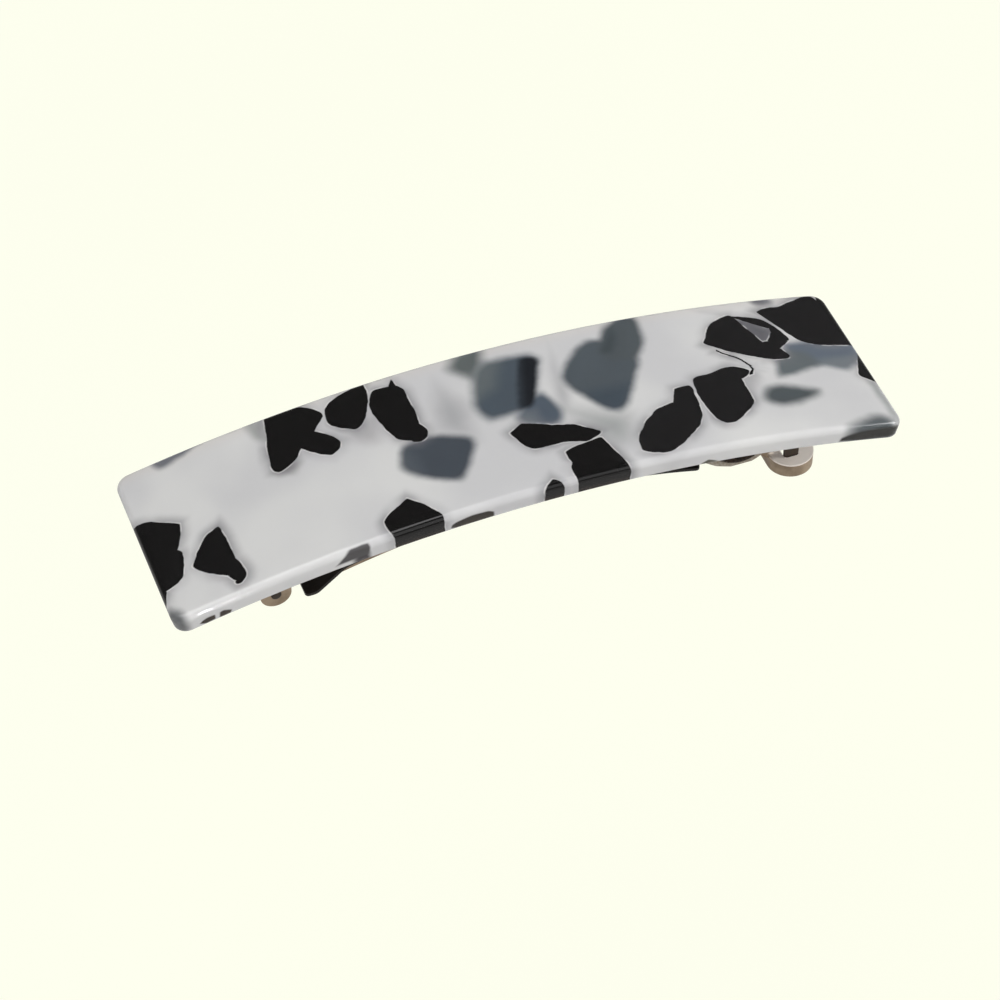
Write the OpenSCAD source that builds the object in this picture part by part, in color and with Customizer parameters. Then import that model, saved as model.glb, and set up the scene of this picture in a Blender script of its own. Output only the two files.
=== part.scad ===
// Hair barrette: a curved cellulose acetate plate on an automatic snap clip.
// Millimetres, +Z up. X runs along the plate and Y across it.
// The origin is on the surface that the clip rests on, under the plate's centre.

/* [Plate] */
// Length of the plate along its curved underside
plate_len = 100; // [96:1:110]
// Width of the plate, front to back
plate_w = 27; // [20:0.5:32]
// Thickness of the plate
plate_t = 2.5; // [2:0.1:3]
// Bend radius of the plate's underside
plate_r = 201; // [180:1:260]
// Radius of the plate's four corners seen from above
plate_corner_r = 2; // [1:0.1:3]
// Rounding along the plate's two long top edges
plate_edge_r = 0.9; // [0.4:0.1:1.2]
// Rounding along the plate's two long bottom edges
plate_under_r = 0.3; // [0.1:0.1:0.6]

/* [Base strip] */
// Bend radius of the base strip's top face
base_r = 100; // [95:1:110]
// Width of the base strip
base_w = 8.8; // [8:0.1:9.2]
// Thickness of the sheet that the base strip is pressed from
base_t = 0.7; // [0.6:0.05:0.8]
// Width of the base strip over the latch
base_end_w = 7; // [6.4:0.1:7.6]
// Distance from the plate's centre to each of the two fixing pins
pin_x = 9; // [7:0.5:11]

/* [Hinge] */
// Distance from the plate's centre to the hinge pin
hinge_x = 34.2; // [33.8:0.1:34.6]
// Drop from the plate's underside to the hinge pin
hinge_drop = 13.65; // [13.5:0.05:13.8]
// Radius of the hinge pin
hinge_pin_r = 0.7; // [0.6:0.05:0.75]
// Radius of the round end of each hinge ear
ear_r = 2.1; // [1.9:0.1:2.3]

/* [Lever] */
// Bend radius of the lever's top face
lever_r = 116; // [114:1:120]
// Drop from the plate's underside to the highest point of the lever's top face
lever_drop = 10.4; // [10.3:0.05:10.5]
// Thickness of the lever's sheet
lever_t = 0.8; // [0.7:0.05:0.85]
// Width of the lever at its middle
lever_w = 5.2; // [4.6:0.1:6]
// Drop from the plate's underside to the flat top of the lever's catch eye
eye_drop = 16.05; // [16:0.05:16.2]
// Depth of the turned-down rim round the catch eye
eye_rim = 2.15; // [1.9:0.05:2.4]

/* [Tension bow] */
// Width of the tension bow
bow_w = 10; // [9:0.1:10.4]
// Thickness of the tension bow's spring steel
bow_t = 0.45; // [0.35:0.05:0.5]
// Bend radius of the bow's underside
bow_r = 92; // [88:1:98]
// Drop from the plate's underside to the highest point of the bow's underside
bow_drop = 8.2; // [8:0.05:8.3]
// Drop from the plate's underside to the bottom of the bow's foot at the hinge end
foot_drop = 15; // [14.9:0.05:15]

/* [Latch] */
// Thickness of the latch's spring steel
latch_t = 0.6; // [0.5:0.05:0.6]
// Distance from the centre line to the inner face of each latch leg
leg_y = 2.25; // [2.2:0.05:2.3]
// Distance that each barb reaches past the side of its leg
barb = 0.6; // [0.4:0.05:0.7]

/* [Hidden] */
$fn = 96;

plate_angle = plate_len / plate_r * 180 / PI;
ear_outer_y = base_w / 2;
ear_inner_y = ear_outer_y - base_t;
base_x0 = -hinge_x - ear_r + 0.6;
base_x1 = 38;
base_taper_x = 24;
pin_shank_r = 0.6;
pin_head_r = 1.4;
pin_head_t = 0.5;
pin_depth = 1.4;
fit_gap = 0.05;

lever_x = 4;                     // place of the lever's highest point along X
lever_w2 = lever_w / 2;
shoulder_x = -29.6;              // where the lever narrows to its hinge tongue
tongue_w2 = 1.5;
neck_x = 33;
neck_w2 = 1.5;
joggle_x = 35;                   // where the strip bends down to the eye
knuckle_r = hinge_pin_r + 0.7;
knuckle_w2 = ear_inner_y - 0.2;
knuckle_x = -hinge_x + 1.9;
eye_x = 39.6;
eye_r = 3.2;
eye_y = 1.5;                     // the eye's two round ends stand this far off the centre line
hole_x = 39.25;                  // middle of the hole through the eye, and its half sizes
hole_w2 = 1.25;
hole_l2 = 2.95;
hole_r = 0.5;
rim_t = 0.8;
hook_slot_x = -28.7;
hook_slot_l = 1.3;
hook_w2 = 1.2;
hook_bottom = -17.15;            // the bow's hook reaches through the slot and turns back under the lever
hook_toe = 0.9;

bow_x0 = -30.4;                  // tip of the bow's foot, and the bow's free end
bow_x1 = 24.9;
bow_bend_x = -24.2;              // where the bow's arch turns down to its foot
bow_lean = 40;                   // slope of the short leg between arch and foot
bow_bend_r = 2.5;
foot_bend_r = 1.6;

bridge_x0 = 28.5;
bridge_x1 = 37;
rivet_x = 32.5;
rivet_head_r = 1.2;
leg_gap = 0.15;
leg_x0 = 26.6;
leg_h = 2.4;
prong_x0 = 38.25;
prong_x1 = 40.25;
prong_bottom = -18;
barb_h = 0.35;                   // depth of the barb's square edge, above its slope
pad_x0 = 25.1;
pad_x1 = 34.9;
pad_y = 6;
pad_top = -4;
flare_top = -7.6;                // the pad leaves the leg here, and its lip starts and ends at the next two
flare_low = -10.5;
lip_low = -11.3;
pad_c = [30.2, -6.9];            // centre of the pad's round end, and its radius
pad_round = 4.65;
pad_slope = -21;                 // slope of the pad's straight lower edge

// Height of an arch of radius r, at a distance dx from its crown, below the crown
function sag(r, dx) = r - sqrt(r * r - dx * dx);
// The clip stands on the rim of the catch eye
rest_h = eye_drop + eye_rim;
// Points on an arc of radius r about c, from angle a to angle b
function arc_points(c, r, a, b, n) =
  [for (k = [0:n]) let (t = a + (b - a) * k / n) c + r * [cos(t), sin(t)]];

// Everything is drawn from the centre of the plate's underside, then lifted on to the surface
module lift() { translate([0, 0, rest_h]) children(); }
// A side view, drawn with X along and Z up, given the width w about the centre line
module side(w) { rotate([90, 0, 0]) linear_extrude(w, center = true) children(); }
// The same from y0 to y1, with y0 below y1
module side_at(y0, y1) { translate([0, y1, 0]) rotate([90, 0, 0]) linear_extrude(y1 - y0) children(); }
// An end view, drawn with Y along and Z up, from x0 to x1
module end_view(x0, x1) { translate([x0, 0, 0]) rotate([90, 0, 90]) linear_extrude(x1 - x0) children(); }
// A plan view, drawn with X and Y, from well below the clip to the plate
module plan() { translate([0, 0, -30]) linear_extrude(30) children(); }

// Side view of a strip of thickness t bent to radius r at its top face, crown at (cx, cz)
module arch(r, t, cx, cz) {
  translate([cx, cz - r]) difference() {
    circle(r, $fn = 180);
    circle(r - t, $fn = 180);
  }
}
module span(x0, x1) { translate([x0, -40]) square([x1 - x0, 40]); }
// A slot outline: two circles of radius r, off the centre line by y, and what lies between
module slot(x, r, y) {
  for (s = [-1, 1]) translate([x, s * y]) circle(r);
  translate([x - r, -y]) square([2 * r, 2 * y]);
}
module round_cut(r) {
  difference() {
    translate([-r, -r]) square([3 * r, 3 * r]);
    circle(r);
    translate([-2 * r, -r]) square([2 * r, 3 * r]);
    translate([-r, -2 * r]) square([3 * r, 2 * r]);
  }
}

// Section across the plate: X is the distance from the bend axis
module plate_section() {
  difference() {
    translate([plate_r, -plate_w / 2]) square([plate_t, plate_w]);
    for (m = [0, 1]) mirror([0, m]) {
      translate([plate_r + plate_t - plate_edge_r, plate_w / 2 - plate_edge_r]) round_cut(plate_edge_r);
      translate([plate_r + plate_under_r, plate_w / 2 - plate_under_r]) mirror([1, 0]) round_cut(plate_under_r);
    }
  }
}
// One corner of the plate, cut to a radius, in line with the bend's radius
module plate_corner_cut() {
  inset = atan(plate_corner_r / plate_r);
  rotate([0, 0, plate_angle / 2 - inset]) translate([plate_r - 2, 0, plate_w / 2 - plate_corner_r])
    rotate([90, 0, 90]) linear_extrude(plate_t + 4) round_cut(plate_corner_r);
}
module plate() {
  color("whitesmoke") lift() difference() {
    translate([0, 0, -plate_r]) rotate([90, 0, 0]) rotate([0, 0, 90]) difference() {
      rotate([0, 0, -plate_angle / 2]) rotate_extrude(angle = plate_angle, $fn = 180) plate_section();
      for (m = [0, 1]) for (n = [0, 1]) mirror([0, m, 0]) mirror([0, 0, n]) plate_corner_cut();
    }
    for (s = [-1, 1]) translate([s * pin_x, 0, -1]) cylinder(r = pin_shank_r + fit_gap, h = 1 + pin_depth + 0.1);
  }
}

// The base strip with its two hinge ears, pressed from one sheet
module base_outline() {
  translate([base_x0, -base_w / 2]) square([base_taper_x - base_x0, base_w]);
  polygon([[base_taper_x, base_w / 2], [base_taper_x + 2, base_end_w / 2], [base_x1 - 1, base_end_w / 2],
           [base_x1, base_end_w / 2 - 1], [base_x1, 1 - base_end_w / 2], [base_x1 - 1, -base_end_w / 2],
           [base_taper_x + 2, -base_end_w / 2], [base_taper_x, -base_w / 2]]);
}
module ear_side() {
  top = -sag(base_r, hinge_x - ear_r);
  translate([-hinge_x, -hinge_drop]) circle(ear_r);
  intersection() {
    translate([-hinge_x - ear_r, -hinge_drop]) square([2 * ear_r, hinge_drop + top + 2]);
    translate([0, -base_r]) circle(base_r - base_t / 2, $fn = 180);
  }
}
module base() {
  color("tan") lift() difference() {
    union() {
      intersection() {
        side(base_w) arch(base_r, base_t, 0, 0);
        plan() base_outline();
      }
      for (s = [-1, 1]) translate([0, s * (ear_outer_y + ear_inner_y) / 2, 0]) side(base_t) ear_side();
    }
    for (s = [-1, 1]) translate([s * pin_x, 0, -5]) cylinder(r = pin_shank_r + fit_gap, h = 6);
    translate([rivet_x, 0, -10]) cylinder(r = pin_shank_r + fit_gap, h = 9);
    translate([-hinge_x, 10, -hinge_drop]) rotate([90, 0, 0]) cylinder(r = hinge_pin_r + 0.02, h = 20);
  }
}
// Two pins through the base strip into blind holes in the plate
module fixing_pins() {
  head_z = -sag(base_r, pin_x + pin_head_r) - base_t;
  color("silver") lift() for (s = [-1, 1]) translate([s * pin_x, 0, 0]) {
    translate([0, 0, head_z - pin_head_t]) cylinder(r = pin_head_r, h = pin_head_t);
    translate([0, 0, head_z - 0.1]) cylinder(r = pin_shank_r, h = pin_depth - head_z);
  }
}
module hinge_pin() {
  color("silver") lift() translate([-hinge_x, 0, -hinge_drop]) rotate([90, 0, 0])
    cylinder(r = hinge_pin_r, h = 2 * ear_outer_y + 0.5, center = true);
}

// The lever: hinge knuckle and tongue, a bent strip, and a rimmed eye for the latch
module lever_outline() {
  outer = hinge_x + knuckle_r + 1;
  translate([-outer, -knuckle_w2]) square([knuckle_x + outer, 2 * knuckle_w2]);
  translate([knuckle_x - 0.5, -tongue_w2]) square([shoulder_x - knuckle_x + 1, 2 * tongue_w2]);
  polygon([[shoulder_x, lever_w2 - 0.8], [shoulder_x + 0.8, lever_w2], [20, lever_w2], [neck_x, neck_w2],
           [joggle_x, neck_w2], [joggle_x, -neck_w2], [neck_x, -neck_w2], [20, -lever_w2],
           [shoulder_x + 0.8, -lever_w2], [shoulder_x, 0.8 - lever_w2]]);
}
module eye_hole() {
  translate([hole_x - hole_w2, hole_r - hole_l2]) square([2 * hole_w2, 2 * (hole_l2 - hole_r)]);
  translate([hole_x - hole_w2 + hole_r, -hole_l2]) square([2 * (hole_w2 - hole_r), 2 * hole_l2]);
  for (m = [-1, 1]) for (n = [-1, 1])
    translate([hole_x + m * (hole_w2 - hole_r), n * (hole_l2 - hole_r)]) circle(hole_r);
}
module strip_side() {
  intersection() {
    arch(lever_r, lever_t, lever_x, -lever_drop);
    span(shoulder_x - 0.05, joggle_x);
  }
}
// Side view of the short bend from the strip down to the eye
module joggle_side() {
  top = -lever_drop - sag(lever_r, joggle_x - 0.3 - lever_x);
  foot_x = eye_x - eye_r + 0.9;
  polygon([[joggle_x - 0.3, top], [foot_x, -eye_drop], [foot_x, -eye_drop - lever_t],
           [foot_x - 0.7, -eye_drop - lever_t], [joggle_x - 0.3, top - lever_t]]);
}
// The eye: a flat ring with its rim turned down
module eye() {
  difference() {
    translate([0, 0, -eye_drop - eye_rim]) linear_extrude(eye_rim) slot(eye_x, eye_r, eye_y);
    translate([0, 0, -eye_drop - eye_rim - 1])
      linear_extrude(eye_rim + 1 - lever_t) slot(eye_x, eye_r - rim_t, eye_y);
  }
}
// The tongue runs from the bottom of the knuckle down into the strip
module tongue_side() {
  low = -hinge_drop - knuckle_r;
  strip = -lever_drop - sag(lever_r, shoulder_x + 0.4 - lever_x);
  polygon([[-hinge_x, low], [-hinge_x, low + lever_t], [-hinge_x + 1.2, low + lever_t],
           [shoulder_x + 0.4, strip - 0.35], [shoulder_x + 0.4, strip - lever_t + 0.15],
           [shoulder_x - 0.6, strip - lever_t]]);
  translate([-hinge_x, -hinge_drop]) circle(knuckle_r);
}
module lever() {
  color("tan") lift() difference() {
    union() {
      intersection() {
        union() {
          side(20) strip_side();
          side(2 * knuckle_w2) tongue_side();
        }
        plan() lever_outline();
      }
      side(2 * neck_w2 - 0.02) joggle_side();
      eye();
    }
    plan() eye_hole();
    translate([-hinge_x, 10, -hinge_drop]) rotate([90, 0, 0]) cylinder(r = hinge_pin_r + 0.05, h = 20);
    translate([hook_slot_x - hook_slot_l / 2, -hook_w2 - 0.2, -20]) cube([hook_slot_l, 2 * hook_w2 + 0.4, 12]);
  }
}

// The tension bow: a strip of spring steel hooked into the lever, its other end free.
// Its side view is a long arch, a short steep leg and a flat foot; out is the offset from its underside.
function bow_line(out) =
  let (bend_a = 90 + asin(-bow_bend_x / bow_r),
       end_a = 90 - asin(bow_x1 / bow_r),
       arch_c = [0, -bow_drop - bow_r],
       bend_c = arch_c + (bow_r - bow_bend_r) * [cos(bend_a), sin(bend_a)],
       leg_top = bend_c + bow_bend_r * [-sin(bow_lean), cos(bow_lean)],
       leg_fall = leg_top[1] + foot_drop - foot_bend_r * (1 - cos(bow_lean)),
       foot_c = [leg_top[0] - leg_fall / tan(bow_lean) - foot_bend_r * sin(bow_lean), foot_bend_r - foot_drop])
  concat([[bow_x0, out - foot_drop]],
         arc_points(foot_c, foot_bend_r - out, -90, bow_lean - 90, 6),
         arc_points(bend_c, bow_bend_r + out, 90 + bow_lean, bend_a, 6),
         arc_points(arch_c, bow_r + out, bend_a - 1, end_a, 32));
function backwards(points) = [for (k = [len(points) - 1:-1:0]) points[k]];
module tension_bow() {
  hook_x = hook_slot_x - bow_t / 2;
  hook_top = -foot_drop + 0.25;
  color("dimgray") lift() {
    side(bow_w) polygon(concat(bow_line(0), backwards(bow_line(bow_t))));
    translate([hook_x, -hook_w2, hook_bottom]) cube([bow_t, 2 * hook_w2, hook_top - hook_bottom]);
    translate([hook_x - hook_toe, -hook_w2, hook_bottom]) cube([hook_toe + bow_t, 2 * hook_w2, bow_t]);
  }
}

// The latch: a bridge riveted under the base strip and two legs that fold down from it
module latch_bridge() {
  color("tan") lift() difference() {
    intersection() {
      side(2 * (leg_y - leg_gap)) arch(base_r - base_t, latch_t, 0, -base_t);
      side(20) span(bridge_x0, bridge_x1);
    }
    translate([rivet_x, 0, -12]) cylinder(r = pin_shank_r + fit_gap, h = 10);
  }
}
module latch_rivet() {
  low = -sag(base_r - base_t - latch_t, rivet_x + rivet_head_r) - base_t - latch_t;
  top = -sag(base_r, rivet_x - rivet_head_r);
  color("silver") lift() translate([rivet_x, 0, 0]) {
    translate([0, 0, low - 0.5]) cylinder(r = rivet_head_r, h = 0.5);
    translate([0, 0, low - 0.1]) cylinder(r = pin_shank_r, h = top - low + 0.2);
    translate([0, 0, top + 0.05]) cylinder(r = rivet_head_r, h = 0.35);
  }
}
module below_base() {
  r = base_r - base_t - leg_gap;
  translate([0, -base_t - leg_gap - r]) circle(r, $fn = 180);
}
module leg_side() {
  intersection() {
    arch(base_r - base_t - leg_gap, leg_h, 0, -base_t - leg_gap);
    span(leg_x0, prong_x1);
  }
  intersection() {
    below_base();
    translate([prong_x0, prong_bottom]) square([prong_x1 - prong_x0, 12]);
  }
}
// Outline of the finger pad: a straight lower edge that runs into a round end
module pad_side() {
  touch = pad_c + pad_round * [sin(pad_slope), -cos(pad_slope)];
  translate(pad_c) circle(pad_round);
  polygon([touch, pad_c, [pad_c[0], pad_top], [pad_x0, pad_top],
           [pad_x0, touch[1] - (touch[0] - pad_x0) * tan(pad_slope)]]);
}
module latch_leg() {
  y1 = leg_y + latch_t;
  barb_top = -eye_drop - lever_t - 0.1;
  side_at(leg_y, y1) leg_side();
  // finger pad, flared outwards from the leg, with a short lip
  intersection() {
    end_view(pad_x0, pad_x1) polygon([
      [leg_y, pad_top], [y1, pad_top], [y1, flare_top], [pad_y, flare_low], [pad_y, lip_low],
      [pad_y - latch_t, lip_low], [pad_y - latch_t, flare_low - 0.25], [leg_y, flare_top - 0.4]]);
    side(20) intersection() {
      pad_side();
      below_base();
    }
  }
  // barb, under the sheet of the lever's eye
  end_view(prong_x0, prong_x1) polygon([
    [leg_y, -16], [y1 - 0.1, -16], [y1 - 0.1, barb_top], [y1 + barb, barb_top], [y1 + barb, barb_top - barb_h],
    [y1 - 0.2, prong_bottom], [leg_y, prong_bottom]]);
}
module front_latch_leg() { color("tan") lift() mirror([0, 1, 0]) latch_leg(); }
module rear_latch_leg() { color("tan") lift() latch_leg(); }

plate();
base();
fixing_pins();
hinge_pin();
lever();
tension_bow();
latch_bridge();
latch_rivet();
front_latch_leg();
rear_latch_leg();
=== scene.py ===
"""Hair barrette: a milky acetate plate with black and blue-grey chips, on an automatic snap clip."""
import math

import bmesh
import bpy
from mathutils import Matrix, Vector


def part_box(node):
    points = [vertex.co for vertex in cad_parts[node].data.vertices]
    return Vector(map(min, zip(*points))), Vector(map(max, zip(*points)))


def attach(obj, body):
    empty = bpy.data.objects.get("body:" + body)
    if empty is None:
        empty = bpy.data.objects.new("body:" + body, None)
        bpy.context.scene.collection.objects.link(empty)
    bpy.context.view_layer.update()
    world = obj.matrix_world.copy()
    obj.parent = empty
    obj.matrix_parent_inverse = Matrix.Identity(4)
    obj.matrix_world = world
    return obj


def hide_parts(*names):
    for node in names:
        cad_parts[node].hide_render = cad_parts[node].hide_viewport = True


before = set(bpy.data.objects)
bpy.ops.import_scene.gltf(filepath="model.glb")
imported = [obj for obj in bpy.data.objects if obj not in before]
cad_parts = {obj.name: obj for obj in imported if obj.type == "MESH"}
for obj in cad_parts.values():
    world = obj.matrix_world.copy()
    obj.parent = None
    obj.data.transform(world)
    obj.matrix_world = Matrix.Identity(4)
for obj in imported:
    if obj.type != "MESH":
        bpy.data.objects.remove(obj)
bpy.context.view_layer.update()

MM = 0.001

# ---------------------------------------------------------------- sizes, in millimetres
plate_lo, plate_hi = (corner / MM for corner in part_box("plate"))
PLATE_T = 2.5
PLATE_R = 201.0                        # bend radius of the plate's underside
PLATE_L = 100.0                        # along the underside
PLATE_W = plate_hi.y - plate_lo.y
PLATE_CORNER = 2.0
PLATE_EDGE = 0.9
PLATE_UNDER = 0.3
REST_H = plate_hi.z - PLATE_T          # height of the plate's underside at its centre
BEND_Z = REST_H - PLATE_R              # height of the bend axis

BASE_R, BASE_T, BASE_W, BASE_END_W = 100.0, 0.7, 8.8, 7.0
LEVER_R, LEVER_T, LEVER_X, LEVER_DROP = 116.0, 0.8, 4.0, 10.4
EYE_X, EYE_R, EYE_Y, EYE_RIM, EYE_DROP = 39.6, 3.2, 1.5, 2.15, 16.05
BOW_R, BOW_T, BOW_DROP, FOOT_DROP = 92.0, 0.45, 8.2, 15.0
HINGE_X, HINGE_DROP, HINGE_R, EAR_R = 34.2, 13.65, 0.7, 2.1
LATCH_T, LEG_Y, LEG_GAP = 0.6, 2.25, 0.15
PRONG_X0, PRONG_X1, PRONG_DROP = 38.25, 40.25, 18.0
PAD_X0, PAD_X1, PAD_Y, PAD_LIP, PAD_DROP = 25.1, 34.9, 6.0, 0.6, 11.3
BOW_TIP_X, BOW_END_X, BOW_HALF = -30.4, 24.9, 5.0
HOOK_X, HOOK_DROP = -28.7, 17.15
EYE_HOLE = (38.2, 40.4, 2.95, 0.5)     # from x, to x, half width, corner radius
HOOK_SLOT = (-29.35, -28.05, 1.4, 0.2)
PIN_X, RIVET_X, PIN_HEAD_R, RIVET_HEAD_R, SHANK_R = 9, 32.5, 1.4, 1.2, 0.6
BORE_R = SHANK_R + 0.05


# ---------------------------------------------------------------- materials
class Shader:
    """A material under construction: each call adds one node and returns its output."""

    def __init__(self, name):
        self.material = bpy.data.materials.new(name)
        self.material.use_nodes = True
        self.tree = self.material.node_tree
        self.bsdf = next(n for n in self.tree.nodes if n.type == "BSDF_PRINCIPLED")

    def node(self, kind, inputs=None, output=0, **settings):
        made = self.tree.nodes.new(kind)
        for key, value in settings.items():
            setattr(made, key, value)
        for key, value in (inputs or {}).items():
            self.feed(made.inputs[key], value)
        return made.outputs[output]

    def feed(self, socket, value):
        if isinstance(value, bpy.types.NodeSocket):
            self.tree.links.new(value, socket)
        else:
            socket.default_value = value

    def math(self, operation, a, b=0.0, c=0.0):
        return self.node("ShaderNodeMath", {0: a, 1: b, 2: c}, operation=operation)

    def ramp(self, value, start, end, low=0.0, high=1.0):
        """low at start, high at end, smooth between them."""
        return self.node(
            "ShaderNodeMapRange",
            {0: value, 1: start, 2: end, 3: low, 4: high},
            interpolation_type="SMOOTHSTEP",
        )

    def mix(self, factor, a, b):
        """Colour a where factor is 0, b where it is 1."""
        a, b = (colour(c) if isinstance(c, tuple) else c for c in (a, b))
        return self.node("ShaderNodeMix", {0: factor, 6: a, 7: b}, output=2, data_type="RGBA")

    def noise(self, vector, scale, detail=2.0, rough=0.5):
        return self.node(
            "ShaderNodeTexNoise", {"Vector": vector, "Scale": scale, "Detail": detail, "Roughness": rough})

    def place(self):
        """Where the point is on the piece, in millimetres."""
        where = self.node("ShaderNodeTexCoord", output=3)
        return self.node("ShaderNodeVectorMath", {0: where, 3: 1 / MM}, operation="SCALE")

    def bump(self, height, distance, strength=1.0):
        bumped = self.node("ShaderNodeBump", {"Height": height, "Distance": distance, "Strength": strength})
        self.feed(self.bsdf.inputs["Normal"], bumped)

    def set(self, **values):
        """Feeds the material's own inputs and returns the material."""
        for key, value in values.items():
            self.feed(self.bsdf.inputs[key.replace("_", " ")], value)
        return self.material


def colour(rgb):
    """A colour with its alpha, as the nodes take it."""
    return (*rgb, 1.0)


def screen(r, g, b):
    """A colour given as 8-bit screen levels."""
    return tuple(((c / 255 + 0.055) / 1.055) ** 2.4 for c in (r, g, b))


# Chips in the acetate. Each is one or more convex outlines on the unrolled plate: the first number
# runs along the plate from its centre, the second across it, positive at the back.
BLACK_CHIPS = [
    # block at the hinge end
    [(-51, 4.5), (-49.3, 4.4), (-48, 4.1), (-44.2, 1.6), (-44.5, 0.2), (-46, -2.6), (-51, -3.5)],
    [(-51, 0), (-46, -2.2), (-45.4, -3), (-45.4, -3.7), (-46.4, -6.9), (-47.1, -7.5), (-49, -8),
     (-51, -8)],
    [(-51, -6), (-49, -7.8), (-49.9, -10.2), (-51, -10.5)],
    # curled flake
    [(-40.1, -1.3), (-41.9, -2), (-43.5, -3.8), (-44.9, -5.7), (-44.8, -6.5), (-43.8, -7.9),
     (-40.4, -10.4), (-39.7, -8), (-39.7, -3)],
    [(-41.5, -7), (-40, -7), (-39.3, -8.3), (-39, -9.6), (-39.1, -10.6), (-39.7, -11.4), (-40.2, -11.6),
     (-41.5, -9.6)],
    [(-40.9, -11), (-40.3, -10.7), (-39.6, -11.1), (-40.1, -11.7), (-40.7, -11.6)],
    # three-armed chip at the back
    [(-28.9, 14.5), (-30.3, 8.6), (-31, 5.5), (-31, 4.3), (-30.4, 3.3), (-29.4, 3.3), (-27.5, 4.5),
     (-25.6, 7), (-24.6, 14.5)],
    [(-27.4, 6.6), (-26.4, 5.6), (-23.9, 3.1), (-23.3, 2.8), (-22, 3.5), (-21.5, 4.6), (-21.9, 5.6),
     (-24, 8), (-26, 9)],
    [(-28, 14.5), (-25.4, 13.6), (-23.6, 12.3), (-22.3, 11), (-22.2, 9.9), (-24.1, 7.7), (-27, 7)],
    # two chips beside it
    [(-21.8, 11.6), (-20.6, 12), (-18.6, 14), (-15.7, 14), (-15.5, 12), (-16, 10), (-17.5, 6.9),
     (-18.3, 6.1), (-19.2, 5.8), (-20, 6.2), (-21.6, 7.6), (-22.1, 8.7)],
    [(-15, 11.5), (-14.4, 11.5), (-11.7, 11.1), (-11.2, 10.1), (-11.1, 6), (-11.3, 3.3), (-12, 1),
     (-13.2, 0.6), (-14.9, 1.9), (-15.8, 4.6), (-16.4, 7.9), (-16.1, 9.8)],
    [(-12, 4), (-11.3, 3.4), (-10.8, 2.2), (-10.9, 1.3), (-11.4, 0.5), (-12.3, 0.2), (-13.4, 0.6),
     (-13.8, 3)],
    [(-13, 10.9), (-12.1, 12.7), (-11.8, 10.9)],
    # chips over the front edge
    [(-17.1, -8.1), (-20.2, -9.9), (-21.1, -10.7), (-21.4, -11.5), (-20.9, -13.2), (-20.3, -18),
     (-14.2, -18), (-14.1, -13), (-14.5, -11.5), (-15.8, -9.7)],
    [(0.8, -12.2), (-0.9, -13.6), (-1.7, -16), (3.2, -16), (1.8, -13.3)],
    [(3.7, -8), (6.4, -7.6), (9.4, -6.7), (10, -8.4), (10.4, -10.4), (11, -13.6), (11.6, -16),
     (4.2, -16), (4, -10.3)],
    [(4.6, -9.6), (3.5, -11.1), (3.7, -14), (4.1, -16), (6, -16)],
    # long chip above the front block
    [(-1.3, -2.6), (1, -1.2), (4.6, -3.1), (6.9, -4), (7, -6.6), (0.6, -6.55), (-0.3, -5.8),
     (-1, -4.2)],
    [(4, -3.4), (7, -3.9), (8.3, -5), (9.8, -6.1), (9.3, -6.7), (7.3, -7.5), (6.4, -7.3), (4, -6.4)],
    # oval chip with a cut corner
    [(13.3, -11.1), (13.3, -9.9), (14, -8.3), (16.2, -5.8), (18, -4.5), (20.3, -3.9), (23.8, -4.3),
     (23.7, -6), (23.3, -7.3), (22.2, -9), (20.6, -10.2), (17.6, -12.2), (16.2, -12.5), (14.5, -11.9)],
    [(20.2, -4.6), (20.9, -3.1), (21.7, -1.5), (23.8, -1.3), (24.05, -1.9), (23.8, -5.4), (21.5, -6.5)],
    # broad chip and the hook at its corner
    [(24.4, -1.2), (24.7, -0.3), (25.2, 0.05), (26.5, 0.12), (29, 0.1), (31.3, -1), (31.2, -6.2),
     (30.7, -6.8), (28, -9), (26.7, -9.5), (25.6, -9.3), (24.9, -8.4), (24.3, -4.5)],
    [(26.5, 0), (28.8, 0.6), (30.3, 0.95), (31.2, 0.8), (31.3, -2), (28, -2)],
    [(29.5, 0.7), (30.4, 0.95), (31.1, 0.9), (32.4, 0.3), (33.1, -0.4), (32.6, -1.3), (31, -1.8),
     (30, -1.5)],
    # holed chip
    [(29, 5.8), (30.9, 8.9), (31.6, 9.6), (34, 10.5), (35, 10.5), (37.3, 4.6), (38.6, 0.9), (37, 1.1),
     (34, 2.4), (30, 4.8)],
    [(34.2, 10.55), (36.6, 10), (38.6, 9.4), (40, 7.6), (39.2, 7.1), (34.6, 10.2)],
    [(39.1, 7.3), (39.9, 7.8), (41.1, 5.2), (41, 4.4), (39.1, 4.4)],
    [(37.8, 4.6), (39.2, 6.5), (39.6, 4.5)],
    [(37.1, 4.7), (38, 4.8), (41, 4.5), (40.6, 4.1), (39.2, 3.1), (36, 1.6)],
    [(36, 2), (37, 3.2), (39.2, 3.1), (39.5, 2.4), (39.8, 1.6), (39.4, 1), (38.4, 0.9), (37, 1.1)],
    # block at the latch end
    [(38.8, 10.6), (40, 11.2), (42.5, 11.45), (52, 11.45), (52, 2.3), (47, 2.6), (44.2, 3.1),
     (42.3, 4.1), (41.4, 5.6)],
    [(42, 11.3), (45, 12.35), (47.2, 13.1), (48, 12.9), (49, 11), (43, 10)],
    [(48.5, 12.2), (48.9, 13.8), (52, 13.8), (52, 10), (48, 10)],
    [(52, 2.5), (49.4, 1), (48.9, -0.4), (47.7, -2.9), (47.9, -3.9), (49.7, -5.3), (52, -6)],
]

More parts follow.
